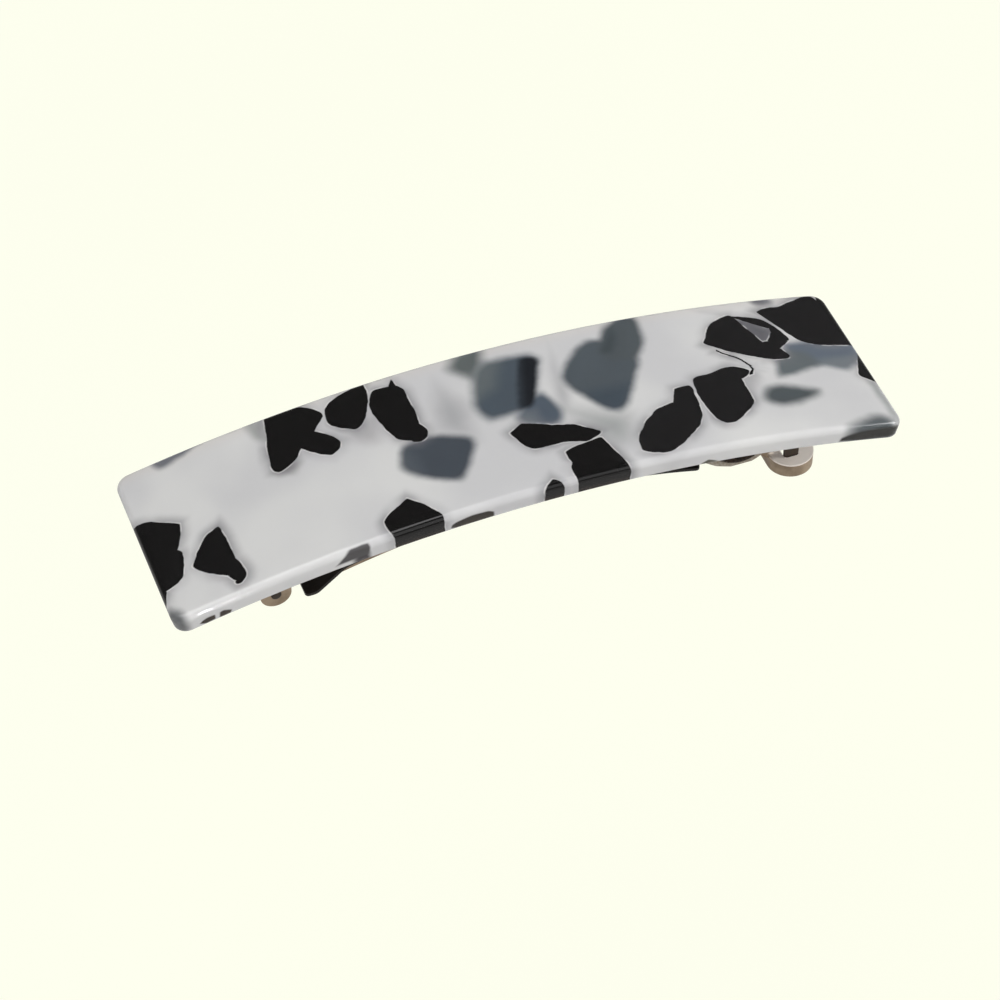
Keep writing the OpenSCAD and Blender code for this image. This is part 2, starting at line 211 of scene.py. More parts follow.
# The thread that joins the holed chip to the broad one, with sharp ends
THREAD = [
    [(30.1, 4.35), (31.5, 3.2), (31.4, 2.9), (30, 4.05)],
    [(31.4, 3.25), (33, 1.75), (32.8, 1.5), (31.3, 2.95)],
    [(32.8, 1.95), (33.65, 0.4), (33.35, 0.35), (32.65, 1.6)],
    [(33.35, 0.75), (33.7, -0.3), (33.4, -0.4), (33.2, 0.6)],
    [(33.7, -0.1), (33.2, -1.2), (32.7, -1.4), (32.8, -1), (33.3, -0.3)],
]

# Chips that lie deeper, seen through the milky body: colour, softness of the edge and outline, and then any
# shade within the chip, in the same form
DEEP_CHIPS = [
    (screen(118, 120, 126), 0.6,
     [(-44.7, 14), (-44.5, 12.1), (-43.6, 11.3), (-41, 12), (-38, 12.8), (-36, 13.6), (-36, 14)]),
    (screen(165, 166, 165), 0.8, [(-32, 14), (-31.4, 10), (-30, 9), (-29, 14)]),
    (screen(74, 80, 88), 0.8,
     [(-14.8, 0.6), (-10.5, 0.8), (-8.5, 0), (-6.2, -1.4), (-5.9, -2.6), (-8.7, -7.4), (-9.7, -8.2),
      (-12.4, -7.1), (-15, -5.2), (-16.3, -3), (-15.9, -1.5)],
     (screen(88, 94, 101), 1.5, [(-17, 1), (-14, 1), (-14, -6), (-17, -6)])),
    (screen(98, 104, 104), 1.2,
     [(-4.8, 11.3), (-3.4, 13.2), (-2, 14.5), (1, 14.5), (0.6, 12.4), (-0.2, 10.5), (-2.2, 8.2),
      (-3.8, 9.6)]),
    (screen(80, 89, 98), 1.0,
     [(0, 10.9), (2.5, 10.8), (6.2, 10.3), (7.1, 9.1), (5.3, 4.8), (3.2, 0.7), (0, 0.2), (-3, 0.2),
      (-4.1, 3), (-3.5, 5.8), (-2, 9.3)],
     (screen(100, 107, 110), 1.6, [(-4, 11), (2, 11), (0, 6), (-4, 4)])),
    (screen(86, 95, 106), 0.8,
     [(3.2, 2.5), (5.2, 3), (6.3, 0.2), (6.5, -1), (5.8, -2.8), (5, -3.4), (1, -2), (0.2, -0.4),
      (1, 0.6)],
     (screen(108, 115, 122), 1.2, [(0, 1), (3, 0), (3, -3), (0, -3)])),
    (screen(26, 29, 35), 0.5,
     [(3.8, 10), (6.2, 9.8), (7, 9.1), (5.4, 5), (4.5, 3), (3.1, 0.8), (0.6, 0.9), (0.9, 2.4), (2.6, 6)],
     (screen(72, 81, 90), 1.6, [(-1, 0), (0.6, 0), (3.1, 6), (4.4, 11), (-1, 11)])),
    (screen(84, 91, 97), 0.8,
     [(8.4, 4.6), (9.3, 6.4), (12, 9.3), (14.5, 10.5), (18, 9), (19.6, 4.8), (17.6, 1.3), (15.1, -2.6),
      (13.2, -3.6), (11.6, -2.6), (9, 1.8), (8.3, 3.4)],
     (screen(72, 81, 90), 1.6, [(9, 1), (17, 1), (14, -4), (11, -4)])),
    (screen(84, 90, 94), 0.8,
     [(13.5, 9.9), (17, 12), (18.4, 14.5), (22.1, 14.5), (22.2, 12), (21.9, 9), (20.4, 6.2), (19, 5),
      (15.5, 6)],
     (screen(68, 75, 80), 0.9, [(15, 7.6), (16.6, 9.9), (18.4, 12), (18.2, 10), (16.4, 7.4)])),
    (screen(102, 111, 122), 0.8,
     [(39.6, 4.5), (44.5, 4), (51, 4), (51, 0), (49.6, -0.8), (48.4, -3), (47.2, -3), (43.6, -1.4),
      (39.5, 0.4)],
     (screen(120, 126, 131), 1.0, [(43, 0), (51, 0.4), (51, -4), (43, -4)])),
    (screen(102, 109, 112), 0.8,
     [(39, 3), (42.5, 1.5), (43.5, -1.3), (40.4, -1.9), (37.7, -2.8), (36.3, -2.5), (36.6, -0.6),
      (37.3, 1.2)]),
    (screen(84, 90, 93), 1.0,
     [(32.6, -5.8), (33.6, -4.1), (35.5, -3.7), (38.5, -4.5), (40.8, -5.6), (40.6, -6.4), (39, -7.2),
      (36.5, -7.8), (34, -7.6), (32.8, -6.8)]),
    (screen(96, 101, 103), 1.1,
     [(41.8, -13), (44.5, -11.8), (46.5, -11.4), (48, -12), (49, -14.5), (47, -16), (40.5, -16)]),
    (screen(112, 112, 117), 0.7,
     [(38.6, 12.9), (39.5, 11.9), (41.5, 11.8), (42.1, 12.6), (41, 13.6), (39, 13.6)]),
    (screen(98, 98, 102), 0.3,
     [(34.9, 10.2), (36.6, 9.2), (39.5, 7.4), (39.5, 6.2), (38, 4.4), (37.2, 4.3), (36.2, 5.6)]),
    (screen(112, 114, 115), 0.8,
     [(-51, -10.4), (-49.2, -11), (-48.3, -12.2), (-48.2, -14), (-49, -15), (-51, -15)]),
    (screen(74, 71, 73), 0.25,
     [(-24.7, -12.9), (-26, -13.2), (-28, -14.2), (-28.6, -15), (-24, -15), (-23.9, -13.5)]),
    (screen(140, 139, 138), 1.1, [(-31, 3.5), (-28.6, 2.4), (-27.5, 3.6), (-29.5, 4.5)]),
    (screen(120, 117, 114), 0.25, [(25.2, 13.5), (25.2, 13), (25.8, 12.9), (25.9, 13.5)]),
    (screen(150, 153, 152), 0.8, [(48.4, -5), (49.4, -5), (49.6, -13), (48.8, -13)]),
]

# Broad faint shadows under the surface
HAZES = [
    (screen(160, 162, 162), 2.6, [(7, -1), (11, -3), (14, -4.5), (13, -8), (11, -9)]),
    (screen(168, 166, 168), 1.8, [(-20, 4.6), (-16.5, 6.5), (-16, 9), (-16, 3), (-18, 3)]),
    (screen(160, 160, 163), 1.5, [(6.8, 2), (8.2, 6), (8, 1), (7, 0)]),
    (screen(165, 163, 165), 1.6, [(31.5, -1), (33.5, -2), (35.5, 0), (34, 1.2), (33, -5), (31.8, -5)]),
    (screen(170, 170, 172), 2.2, [(-7, 8), (-5, 4), (-6, -1), (-9, 1), (-9, 4)]),
]

# Chips cut through by the front face, in the same form, along the plate and up from its underside
SIDE_CHIPS = [
    (screen(62, 53, 46), 0.12,
     [(-47, 0.6), (-46.4, 1), (-45.6, 1.15), (-44.8, 1.05), (-44.9, 0.3), (-46.2, 0.2)]),
    (screen(66, 56, 50), 0.12, [(-44.4, 0.2), (-44.1, 1.1), (-43.6, 1.2), (-42.6, 0.7), (-42.9, 0.2)]),
    (screen(84, 82, 83), 0.2,
     [(-28.6, 0.8), (-26.9, 2.2), (-25.4, 3), (-24.3, 3), (-23.9, 2), (-24.3, 0.9)]),
    (screen(56, 51, 45), 0.14,
     [(-13.4, 0.4), (-13.2, 0.9), (-12.6, 1.2), (-10.5, 1.55), (-8.3, 1.4), (-7.6, 1), (-7.6, 0.2),
      (-9.5, 0.1), (-13, 0.2)]),
    (screen(96, 93, 84), 0.1, [(20.2, 0), (21.7, 0.8), (23, 0.35), (23.6, 0)]),
    (screen(50, 50, 47), 0.25,
     [(40.6, 0.3), (40.8, 0.9), (42, 1.4), (44, 1.8), (47, 2), (49, 2), (49.8, 1.2), (49.6, 0.4),
      (44, 0.2)]),
]


def outward_edges(outline):
    """For each edge of a convex outline, its outward normal and its distance from the origin."""
    middle = sum((Vector(p) for p in outline), Vector((0, 0))) / len(outline)
    for start, end in zip(outline, outline[1:] + outline[:1]):
        along = (Vector(end) - Vector(start)).normalized()
        normal = Vector((along.y, -along.x))
        if normal.dot(Vector(start) - middle) < 0:
            normal.negate()
        yield normal, normal.dot(Vector(start))


def distance_to(shader, point, outline, rounding=0.0):
    """How far outside a convex outline the point is. point's third part is 1."""
    far = None
    for normal, offset in outward_edges(outline):
        edge = shader.node("ShaderNodeVectorMath", {0: point, 1: (normal.x, normal.y, -offset)},
                           output=1, operation="DOT_PRODUCT")
        if far is None:
            far = edge
        elif rounding:
            far = shader.math("SMOOTH_MAX", far, edge, rounding)
        else:
            far = shader.math("MAXIMUM", far, edge)
    return far


def arc(centre, radius, start, end, steps):
    """Points on an arc, angles in degrees."""
    turns = [math.radians(start + (end - start) * k / steps) for k in range(steps + 1)]
    return [(centre[0] + radius * math.cos(t), centre[1] + radius * math.sin(t)) for t in turns]


def pad_outline(inset, steps=8):
    """Side view of a finger pad, drawn in by inset: a straight sloping lower edge, then a round end."""
    middle, radius, slope, x0 = (30.2, REST_H - 6.9), 4.65 - inset, 21, PAD_X0 + inset / 2
    low_edge = arc(middle, radius, 0, -90 - slope, steps)
    rise = (low_edge[-1][0] - x0) * math.tan(math.radians(slope))
    return low_edge + [(x0, low_edge[-1][1] + rise), (x0, REST_H), (middle[0] + radius, REST_H)]


def unrolled(s, place):
    """Where the point is on the plate laid flat: along it, across it and up from its underside."""
    x, y, z = s.node("ShaderNodeSeparateXYZ", {0: place}).node.outputs
    up = s.math("SUBTRACT", z, BEND_Z)
    angle = s.math("ARCTAN2", x, up)
    along = s.math("MULTIPLY", angle, PLATE_R)
    radius = s.math("SQRT", s.math("ADD", s.math("MULTIPLY", x, x), s.math("MULTIPLY", up, up)))
    return along, y, s.math("SUBTRACT", radius, PLATE_R)


def wander(s, place):
    """A small random shift, which keeps the chips' edges from being ruled lines."""
    return s.math("MULTIPLY", s.math("SUBTRACT", s.noise(place, 0.45, 2.0), 0.5), 0.55)


def milky_body(s, place, across, top):
    """The body's colour: faint clouds, and the deeper chips that show through it."""
    cloud = s.ramp(s.noise(place, 0.06, 2.0), 0.35, 0.65)
    body = s.mix(cloud, screen(202, 202, 203), screen(213, 213, 212))
    back = s.ramp(across, 10.5, 13.5, 0.0, 0.5)
    body = s.mix(back, body, screen(206, 201, 196))
    for tint, soft, outline in HAZES:
        body = s.mix(s.ramp(distance_to(s, top, outline, 1.5), soft, -soft), body, tint)
    for tint, soft, outline, *shades in DEEP_CHIPS:
        for shade, shade_soft, shade_outline in shades:
            within = s.ramp(distance_to(s, top, shade_outline, 1.0), shade_soft, -shade_soft)
            tint = s.mix(within, tint, shade)
        body = s.mix(s.ramp(distance_to(s, top, outline, 1.0), soft, -soft), body, tint)
    return body


def nearest_chip(s, top):
    """How far the point is from the nearest chip at the surface, negative within it."""
    nearest = None
    for outlines, rounding in ((BLACK_CHIPS, 0.5), (THREAD, 0.0)):
        for outline in outlines:
            far = distance_to(s, top, outline, rounding)
            nearest = far if nearest is None else s.math("MINIMUM", nearest, far)
    return nearest


def acetate():
    """Milky cellulose acetate: chips at the surface are crisp, and deeper ones are soft and blue-grey."""
    s = Shader("acetate")
    place = s.place()
    along, across, height = unrolled(s, place)
    shifted = s.node("ShaderNodeVectorMath", {0: place, 1: (31.0, 17.0, 5.0)}, operation="ADD")
    top_u = s.math("ADD", along, wander(s, place))
    top_v = s.math("ADD", across, wander(s, shifted))
    top = s.node("ShaderNodeCombineXYZ", {0: top_u, 1: top_v, 2: 1.0})
    side = s.node("ShaderNodeCombineXYZ", {0: along, 1: height, 2: 1.0})

    body = milky_body(s, place, across, top)
    front = s.ramp(across, 0.6 - PLATE_W / 2, 0.3 - PLATE_W / 2)
    for tint, soft, outline in SIDE_CHIPS:
        cut = s.ramp(distance_to(s, side, outline, 0.2), soft, -soft)
        body = s.mix(s.math("MULTIPLY", cut, front), body, tint)
    # black chips shade the body round them where they run on under the surface
    nearest = nearest_chip(s, top)
    reach = s.ramp(s.noise(place, 0.22, 1.0), 0.35, 0.65, 0.25, 0.75)
    halo = s.math("MULTIPLY", s.ramp(nearest, 1.7, -0.4), reach)
    body = s.mix(halo, body, screen(128, 127, 131))
    # a thin pale rim shows beside them in places
    patches = s.ramp(s.noise(place, 0.45, 1.0), 0.45, 0.6, 0.0, 0.55)
    rim = s.math("MULTIPLY", s.ramp(nearest, 0.24, 0.1), patches)
    body = s.mix(rim, body, screen(228, 227, 225))
    # a chip's cut section shows browner and paler towards the underside
    low = s.math("MULTIPLY", s.ramp(height, 1.3, 0.2), front)
    deep_black = s.mix(s.ramp(along, 8.0, 14.0), screen(13, 12, 12), screen(25, 24, 25))
    black = s.mix(low, deep_black, screen(40, 34, 30))
    tone = s.mix(s.ramp(nearest, 0.07, -0.07), body, black)

    # the surface swells faintly, and steps at the chips' edges
    swell = s.math("MULTIPLY", s.noise(place, 0.25, 2.0), 0.4)
    relief = s.math("ADD", swell, s.ramp(nearest, 0.16, -0.1))
    s.bump(relief, 0.012 * MM, 0.6)
    polish = s.ramp(s.noise(place, 1.2, 4.0), 0.3, 0.7, 0.05, 0.09)
    return s.set(Base_Color=tone, Roughness=polish, IOR=1.48, Subsurface_Weight=1.0,
                 Subsurface_Scale=2.5 * MM, Subsurface_Radius=(1.0, 1.0, 1.0))


def plated(name, light, dark, rough, face=None):
    """Satin plating on sheet steel: faint rolling lines along X, small stains, marks and pits.

    face is the height of the catch eye's flat top, which is painted pale: a painted highlight for the light
    the top catches from the front and off the plate's bright underside.
    """
    s = Shader(name)
    place = s.place()
    stretched = s.node("ShaderNodeVectorMath", {0: place, 1: (0.25, 6.0, 6.0)}, operation="MULTIPLY")
    lines = s.noise(stretched, 1.0, 4.0, 0.6)
    stains = s.noise(place, 0.35, 3.0)
    marks = s.ramp(s.noise(place, 3.0, 2.0), 0.62, 0.7)
    tone = s.mix(s.ramp(stains, 0.35, 0.7), light, dark)
    tone = s.mix(s.math("MULTIPLY", marks, 0.35), tone, dark)
    # painted highlight: the catch eye's flat top is painted paler than the rest of the plating for the
    # light that falls on it
    if face is not None:
        x, _, z = s.node("ShaderNodeSeparateXYZ", {0: place}).node.outputs
        lower, upper = s.ramp(z, face - 0.3, face - 0.15), s.ramp(z, face + 0.4, face + 0.2)
        flat = s.math("MULTIPLY", lower, upper)
        flat = s.math("MULTIPLY", flat, s.ramp(x, 36.2, 36.8))
        tone = s.mix(flat, tone, screen(255, 246, 236))
    gloss = s.math("ADD", s.math("MULTIPLY", lines, 0.12), rough)
    s.bump(lines, 0.01 * MM, 0.4)
    return s.set(Base_Color=tone, Metallic=0.25, Roughness=gloss)


def latch_steel():
    """Spring steel painted dark for the shade and dark reflections under the plate, with a painted
    highlight along the lower lip of the finger pads.
    """
    s = Shader("latch_steel")
    place = s.place()
    x, _, z = s.node("ShaderNodeSeparateXYZ", {0: place}).node.outputs
    grain = s.noise(place, 2.5, 3.0)
    side = s.node("ShaderNodeCombineXYZ", {0: x, 1: z, 2: 1.0})
    lip_inner = distance_to(s, side, pad_outline(PAD_LIP), 0.3)
    lip_reach = s.math("ADD", lip_inner, s.math("MULTIPLY", grain, 0.2))
    pad_end, prong_start = REST_H - 12.0, REST_H - 12.4
    below_pad = s.ramp(z, pad_end, prong_start)
    lip = s.math("MAXIMUM", s.ramp(lip_reach, 0.0, 0.25), below_pad)
    # painted shade: the pads' faces and the prongs are painted dark for the shade and dark reflections
    # under the plate
    dark = s.mix(s.ramp(grain, 0.35, 0.65), screen(30, 24, 20), screen(62, 50, 42))
    # painted highlight: the pads' lower lip is painted pale for the front light it catches
    wear_and_highlight = s.mix(s.ramp(grain, 0.3, 0.7), screen(186, 178, 166), screen(150, 138, 122))
    s.bump(grain, 0.012 * MM, 0.5)
    on_pad = s.ramp(z, prong_start, pad_end, 0.1, 1.0)
    tone = s.mix(s.math("MULTIPLY", lip, on_pad), dark, wear_and_highlight)
    gloss = s.math("ADD", s.math("MULTIPLY", grain, 0.15), 0.28)
    return s.set(Base_Color=tone, Metallic=0.8, Roughness=gloss)


def black_steel():
    """Blackened spring steel, satin, scuffed a little paler in places."""
    s = Shader("black_spring_steel")
    place = s.place()
    grain = s.noise(place, 4.0, 4.0, 0.6)
    wear_and_highlight = s.ramp(s.noise(place, 0.3, 3.0), 0.5, 0.8, 0.0, 0.5)
    tone = s.mix(wear_and_highlight, screen(27, 24, 21), screen(58, 53, 48))
    s.bump(grain, 0.012 * MM, 0.5)
    gloss = s.math("ADD", s.math("MULTIPLY", grain, 0.2), 0.35)
    return s.set(Base_Color=tone, Metallic=0.35, Roughness=gloss)


ACETATE = acetate()
PLATED = plated("plated_steel", screen(168, 149, 125), screen(130, 112, 90), 0.4, REST_H - EYE_DROP)
BRIGHT = plated("bright_steel", screen(214, 206, 196), screen(176, 168, 158), 0.24)
BLACK = black_steel()
LATCH = latch_steel()


# ---------------------------------------------------------------- mesh tools, all in millimetres
def sag(radius, dx):
    """How far an arc has fallen below its crown, dx to the side of it."""
    return radius - math.sqrt(radius * radius - dx * dx)


def prism(outline, along, low, high):
    """A closed prism of an outline. along y takes (x, z) points, z takes (x, y) and x takes (y, z)."""
    def at(p, h):
        return {"x": (h, p[0], p[1]), "y": (p[0], h, p[1]), "z": (p[0], p[1], h)}[along]

    bm = bmesh.new()
    bottom = [bm.verts.new(at(p, low)) for p in outline]
    top = [bm.verts.new(at(p, high)) for p in outline]
    bm.faces.new(bottom)
    bm.faces.new(top[::-1])
    for k in range(len(outline)):
        n = (k + 1) % len(outline)
        bm.faces.new((bottom[n], bottom[k], top[k], top[n]))
    bmesh.ops.recalc_face_normals(bm, faces=bm.faces)
    return solid(bm)


def solid(bm):
    """Turns a bmesh into an object in the scene."""
    mesh = bpy.data.meshes.new("part")
    bm.to_mesh(mesh)
    bm.free()
    made = bpy.data.objects.new("part", mesh)
    bpy.context.scene.collection.objects.link(made)
    return made


def settle(obj):
    """Turns the object's modifiers into its mesh."""
    depsgraph = bpy.context.evaluated_depsgraph_get()
    mesh = bpy.data.meshes.new_from_object(obj.evaluated_get(depsgraph))
    obj.modifiers.clear()
    obj.data = mesh
    return obj


def combine(operation, first, *others):
    """Joins, cuts or intersects solids, and uses up the others."""
    for other in others:
        step = first.modifiers.new("combine", "BOOLEAN")
        step.operation = operation
        step.solver = "EXACT"
        step.object = other
        settle(first)
        bpy.data.objects.remove(other)
    return first


def finish_piece(obj, name, body, material, nodes=(), edge=0.1, sharp=30):
    """Rounds the edges, brings the piece to metres and hands it to the frame."""
    if edge:
        bevel = obj.modifiers.new("edges", "BEVEL")
        bevel.width = edge
        bevel.segments = 3
        bevel.limit_method = "ANGLE"
        bevel.angle_limit = math.radians(sharp)
        bevel.use_clamp_overlap = True
        settle(obj)
    obj.data.transform(Matrix.Scale(MM, 4))
    obj.data.shade_smooth()
    weigh = obj.modifiers.new("normals", "WEIGHTED_NORMAL")
    weigh.keep_sharp = True
    obj.name = obj.data.name = name
    obj.data.materials.clear()
    obj.data.materials.append(material)
    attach(obj, body)
    if nodes:
        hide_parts(*nodes)
    return obj


def band(radius, thickness, x0, x1, middle_x, crown_z, steps=72):
    """Side outline of a bent strip, its top face at radius, its crown at (middle_x, crown_z)."""
    inner = radius - thickness
    centre = (middle_x, crown_z - radius)
    a0 = math.degrees(math.acos((x0 - middle_x) / radius))
    a1 = math.degrees(math.acos((x1 - middle_x) / radius))
    b0 = math.degrees(math.acos((x0 - middle_x) / inner))
    b1 = math.degrees(math.acos((x1 - middle_x) / inner))
    return arc(centre, radius, a0, a1, steps) + arc(centre, inner, b1, b0, steps)


def stadium(cx, radius, off, steps=24):
    """Two half circles of a radius, off the centre line."""
    return arc((cx, off), radius, 0, 180, steps) + arc((cx, -off), radius, 180, 360, steps)


def rounded(x0, x1, half, radius, steps=8):
    """A rectangle with round corners, about the centre line."""
    return (arc((x1 - radius, half - radius), radius, 0, 90, steps)
            + arc((x0 + radius, half - radius), radius, 90, 180, steps)
            + arc((x0 + radius, radius - half), radius, 180, 270, steps)
            + arc((x1 - radius, radius - half), radius, 270, 360, steps))


def disc(x, z, radius, y0, y1, steps=40):
    """A round bar across the clip."""
    return prism(arc((x, z), radius, 0, 360 - 360 / steps, steps - 1), "y", y0, y1)


def post(x, y, radius, z0, z1, steps=32):
    """An upright round bar."""
    return prism(arc((x, y), radius, 0, 360 - 360 / steps, steps - 1), "z", z0, z1)


# ---------------------------------------------------------------- the acetate plate
def plate_edge(inset):
    """The plate's front outline from end to end in plan, drawn in by inset."""
    half_l, half_w = PLATE_L / 2 - PLATE_CORNER, PLATE_W / 2 - PLATE_CORNER
    radius, steps, turns = PLATE_CORNER - inset, 72, 10
    side = [(half_l * (2 * k / steps - 1), -half_w - radius) for k in range(1, steps)]
    return (arc((-half_l, -half_w), radius, 180, 270, turns) + side
            + arc((half_l, -half_w), radius, 270, 360, turns))


def make_plate():
    """A rounded slab with filleted edges, built ring by ring and bent about the plate's axis."""
    quarter = [math.radians(90 * k / 8) for k in range(9)]
    under = [(PLATE_UNDER * (1 - math.sin(t)), PLATE_UNDER * (1 - math.cos(t))) for t in quarter]
    over = [(PLATE_EDGE * (1 - math.cos(t)), PLATE_T - PLATE_EDGE * (1 - math.sin(t))) for t in quarter]
    bm = bmesh.new()
    rings = []
    for inset, height in under + over:
        front = plate_edge(inset)
        ring = front + [(u, -w) for u, w in reversed(front)]
        rings.append([bm.verts.new((u, w, height)) for u, w in ring])
    count = len(rings[0])
    for low, high in zip(rings, rings[1:]):
        for k in range(count):
            n = (k + 1) % count
            bm.faces.new((low[k], low[n], high[n], high[k]))
    for ring in (rings[0], rings[-1]):
        for k in range(count // 2 - 1):
            bm.faces.new((ring[k], ring[k + 1], ring[count - 2 - k], ring[count - 1 - k]))
    bmesh.ops.recalc_face_normals(bm, faces=bm.faces)
    for v in bm.verts:
        u, w, h = v.co
        turn = u / PLATE_R
        v.co = ((PLATE_R + h) * math.sin(turn), w, BEND_Z + (PLATE_R + h) * math.cos(turn))
    finish_piece(solid(bm), "acetate_plate", "clip_base", ACETATE, ["plate"], edge=0)


# ---------------------------------------------------------------- the clip
def make_base():
    """The arched base strip with its pin holes and its two hinge ears."""
    x0, x1, taper = 1.5 - HINGE_X - EAR_R - 0.9, 38.0, 24.0
    half, end = BASE_W / 2, BASE_END_W / 2
    strip = prism(band(BASE_R, BASE_T, x0 - 3, x1 + 3, 0, REST_H), "y", -10, 10)
    corner, nick = 1.2, 0.4
    plan = ([(x0 + nick, half), (taper, half), (taper + 2, end), (x1 - corner, end)]
            + arc((x1 - corner, end - corner), corner, 80, 0, 6)
            + arc((x1 - corner, corner - end), corner, 0, -80, 6)
            + [(x1 - corner, -end), (taper + 2, -end), (taper, -half), (x0 + nick, -half),
               (x0, nick - half), (x0, half - nick)])
    base = combine("INTERSECT", strip, prism(plan, "z", -5, REST_H + 5))
    top = REST_H - sag(BASE_R, HINGE_X - EAR_R) - BASE_T / 2
    foot = REST_H - HINGE_DROP
    outline = (arc((-HINGE_X, foot), EAR_R, 180, 360, 32)
               + [(EAR_R - HINGE_X, top), (-HINGE_X - EAR_R, top - 1.15)])
    for side in (-1, 1):
        inner, outer = side * (half - BASE_T), side * half
        combine("UNION", base, prism(outline, "y", min(inner, outer), max(inner, outer)))
    for x in (-PIN_X, PIN_X, RIVET_X):
        combine("DIFFERENCE", base, post(x, 0, BORE_R, 0, REST_H + 3))
    combine("DIFFERENCE", base, disc(-HINGE_X, foot, HINGE_R + 0.02, -8, 8))
    finish_piece(base, "base_strip", "clip_base", PLATED, ["base"], edge=0.12)


def make_lever():
    """The lever: knuckle, tongue, bent strip, and the flat catch eye with its rim turned down."""
    crown = REST_H - LEVER_DROP
    foot = REST_H - HINGE_DROP
    eye_top = REST_H - EYE_DROP
    shoulder, neck_x, neck, half, knuckle, joggle = -29.6, 33.0, 1.5, 2.6, HINGE_R + 0.7, 35.0
    plan = (arc((shoulder + 1, 1 - half), 1, 270, 180, 6) + arc((shoulder + 1, half - 1), 1, 180, 90, 6)
            + [(20, half), (neck_x, neck), (joggle, neck), (joggle, -neck), (neck_x, -neck), (20, -half)])
    lever = prism(band(LEVER_R, LEVER_T, shoulder - 0.5, joggle, LEVER_X, crown), "y", -10, 10)
    combine("INTERSECT", lever, prism(plan, "z", -5, REST_H))
    bend_x, bend_foot = joggle - 0.3, EYE_X - EYE_R + 0.9
    bend_z = crown - sag(LEVER_R, bend_x - LEVER_X)
    bend = [(bend_x, bend_z), (bend_foot, eye_top), (bend_foot, eye_top - LEVER_T),
            (bend_foot - 0.7, eye_top - LEVER_T), (bend_x, bend_z - LEVER_T)]
    combine("UNION", lever, prism(bend, "y", 0.01 - neck, neck - 0.01))
    eye = prism(stadium(EYE_X, EYE_R, EYE_Y), "z", eye_top - EYE_RIM, eye_top)
    combine("DIFFERENCE", eye, prism(stadium(EYE_X, EYE_R - 0.8, EYE_Y), "z", -5, eye_top - LEVER_T))
    combine("UNION", lever, eye)
    combine("DIFFERENCE", lever, prism(rounded(*EYE_HOLE), "z", -20, REST_H))
    strip = crown - sag(LEVER_R, shoulder + 0.4 - LEVER_X)
    low = foot - knuckle
    side = [(-HINGE_X, low), (shoulder - 0.6, strip - LEVER_T), (shoulder + 0.4, strip - LEVER_T + 0.15),
            (shoulder + 0.4, strip - 0.35), (1.2 - HINGE_X, low + LEVER_T), (-HINGE_X, low + LEVER_T)]
    tongue = prism(side, "y", -neck, neck)
    combine("UNION", tongue, disc(-HINGE_X, foot, knuckle, -3.5, 3.5))
    combine("UNION", lever, tongue)
    combine("DIFFERENCE", lever, disc(-HINGE_X, foot, HINGE_R + 0.05, -8, 8))
    combine("DIFFERENCE", lever, prism(rounded(*HOOK_SLOT, 3), "z", -20, REST_H))
    finish_piece(lever, "lever_arm", "lever", PLATED, ["lever"], edge=0.14)


def bow_line(out):
    """Side view of the bow's underside: foot, short steep leg, long arch. out is the offset from it."""
    lean, bend_r, foot_r, bend_x = 40, 2.5, 1.6, -24.2
    arch = (0, REST_H - BOW_DROP - BOW_R)
    bend_at = 90 + math.degrees(math.asin(-bend_x / BOW_R))
    end_at = 90 - math.degrees(math.asin(BOW_END_X / BOW_R))
    turn = math.radians(bend_at)
    bend = (arch[0] + (BOW_R - bend_r) * math.cos(turn), arch[1] + (BOW_R - bend_r) * math.sin(turn))
    slope = math.radians(lean)
    top_x, top_z = bend[0] - bend_r * math.sin(slope), bend[1] + bend_r * math.cos(slope)
    foot_z = REST_H - FOOT_DROP
    fall = top_z - foot_z - foot_r * (1 - math.cos(slope))
    foot = (top_x - fall / math.tan(slope) - foot_r * math.sin(slope), foot_z + foot_r)
    return ([(BOW_TIP_X, foot_z + out)] + arc(foot, foot_r - out, -90, lean - 90, 8)
            + arc(bend, bend_r + out, 90 + lean, bend_at, 8)
            + arc(arch, BOW_R + out, bend_at - 1, end_at, 56))


def make_bow():
    """The arched tension bow with the hook that holds it in the lever."""
    half, end_r, tip_r = BOW_HALF, 0.8, 0.5
    bow = prism(bow_line(0) + bow_line(BOW_T)[::-1], "y", -half, half)
    # the ends' corners are rounded
    plan = (arc((BOW_END_X - end_r, half - end_r), end_r, 0, 90, 6)
            + arc((tip_r + BOW_TIP_X, half - tip_r), tip_r, 90, 180, 6)
            + arc((tip_r + BOW_TIP_X, tip_r - half), tip_r, 180, 270, 6)
            + arc((BOW_END_X - end_r, end_r - half), end_r, 270, 360, 6))
    combine("INTERSECT", bow, prism(plan, "z", -5, REST_H))
    hook, top, bottom, toe = HOOK_X - BOW_T / 2, REST_H - FOOT_DROP + 0.25, REST_H - HOOK_DROP, 0.9
    profile = [(hook, top), (hook, bottom + BOW_T), (hook - toe, bottom + BOW_T), (hook - toe, bottom),
               (hook + BOW_T - 0.15, bottom), (hook + BOW_T, bottom + 0.15), (hook + BOW_T, top)]
    combine("UNION", bow, prism(profile, "y", -1.2, 1.2))
    finish_piece(bow, "spring_bow", "bow", BLACK, ["tension_bow"], edge=0.08)


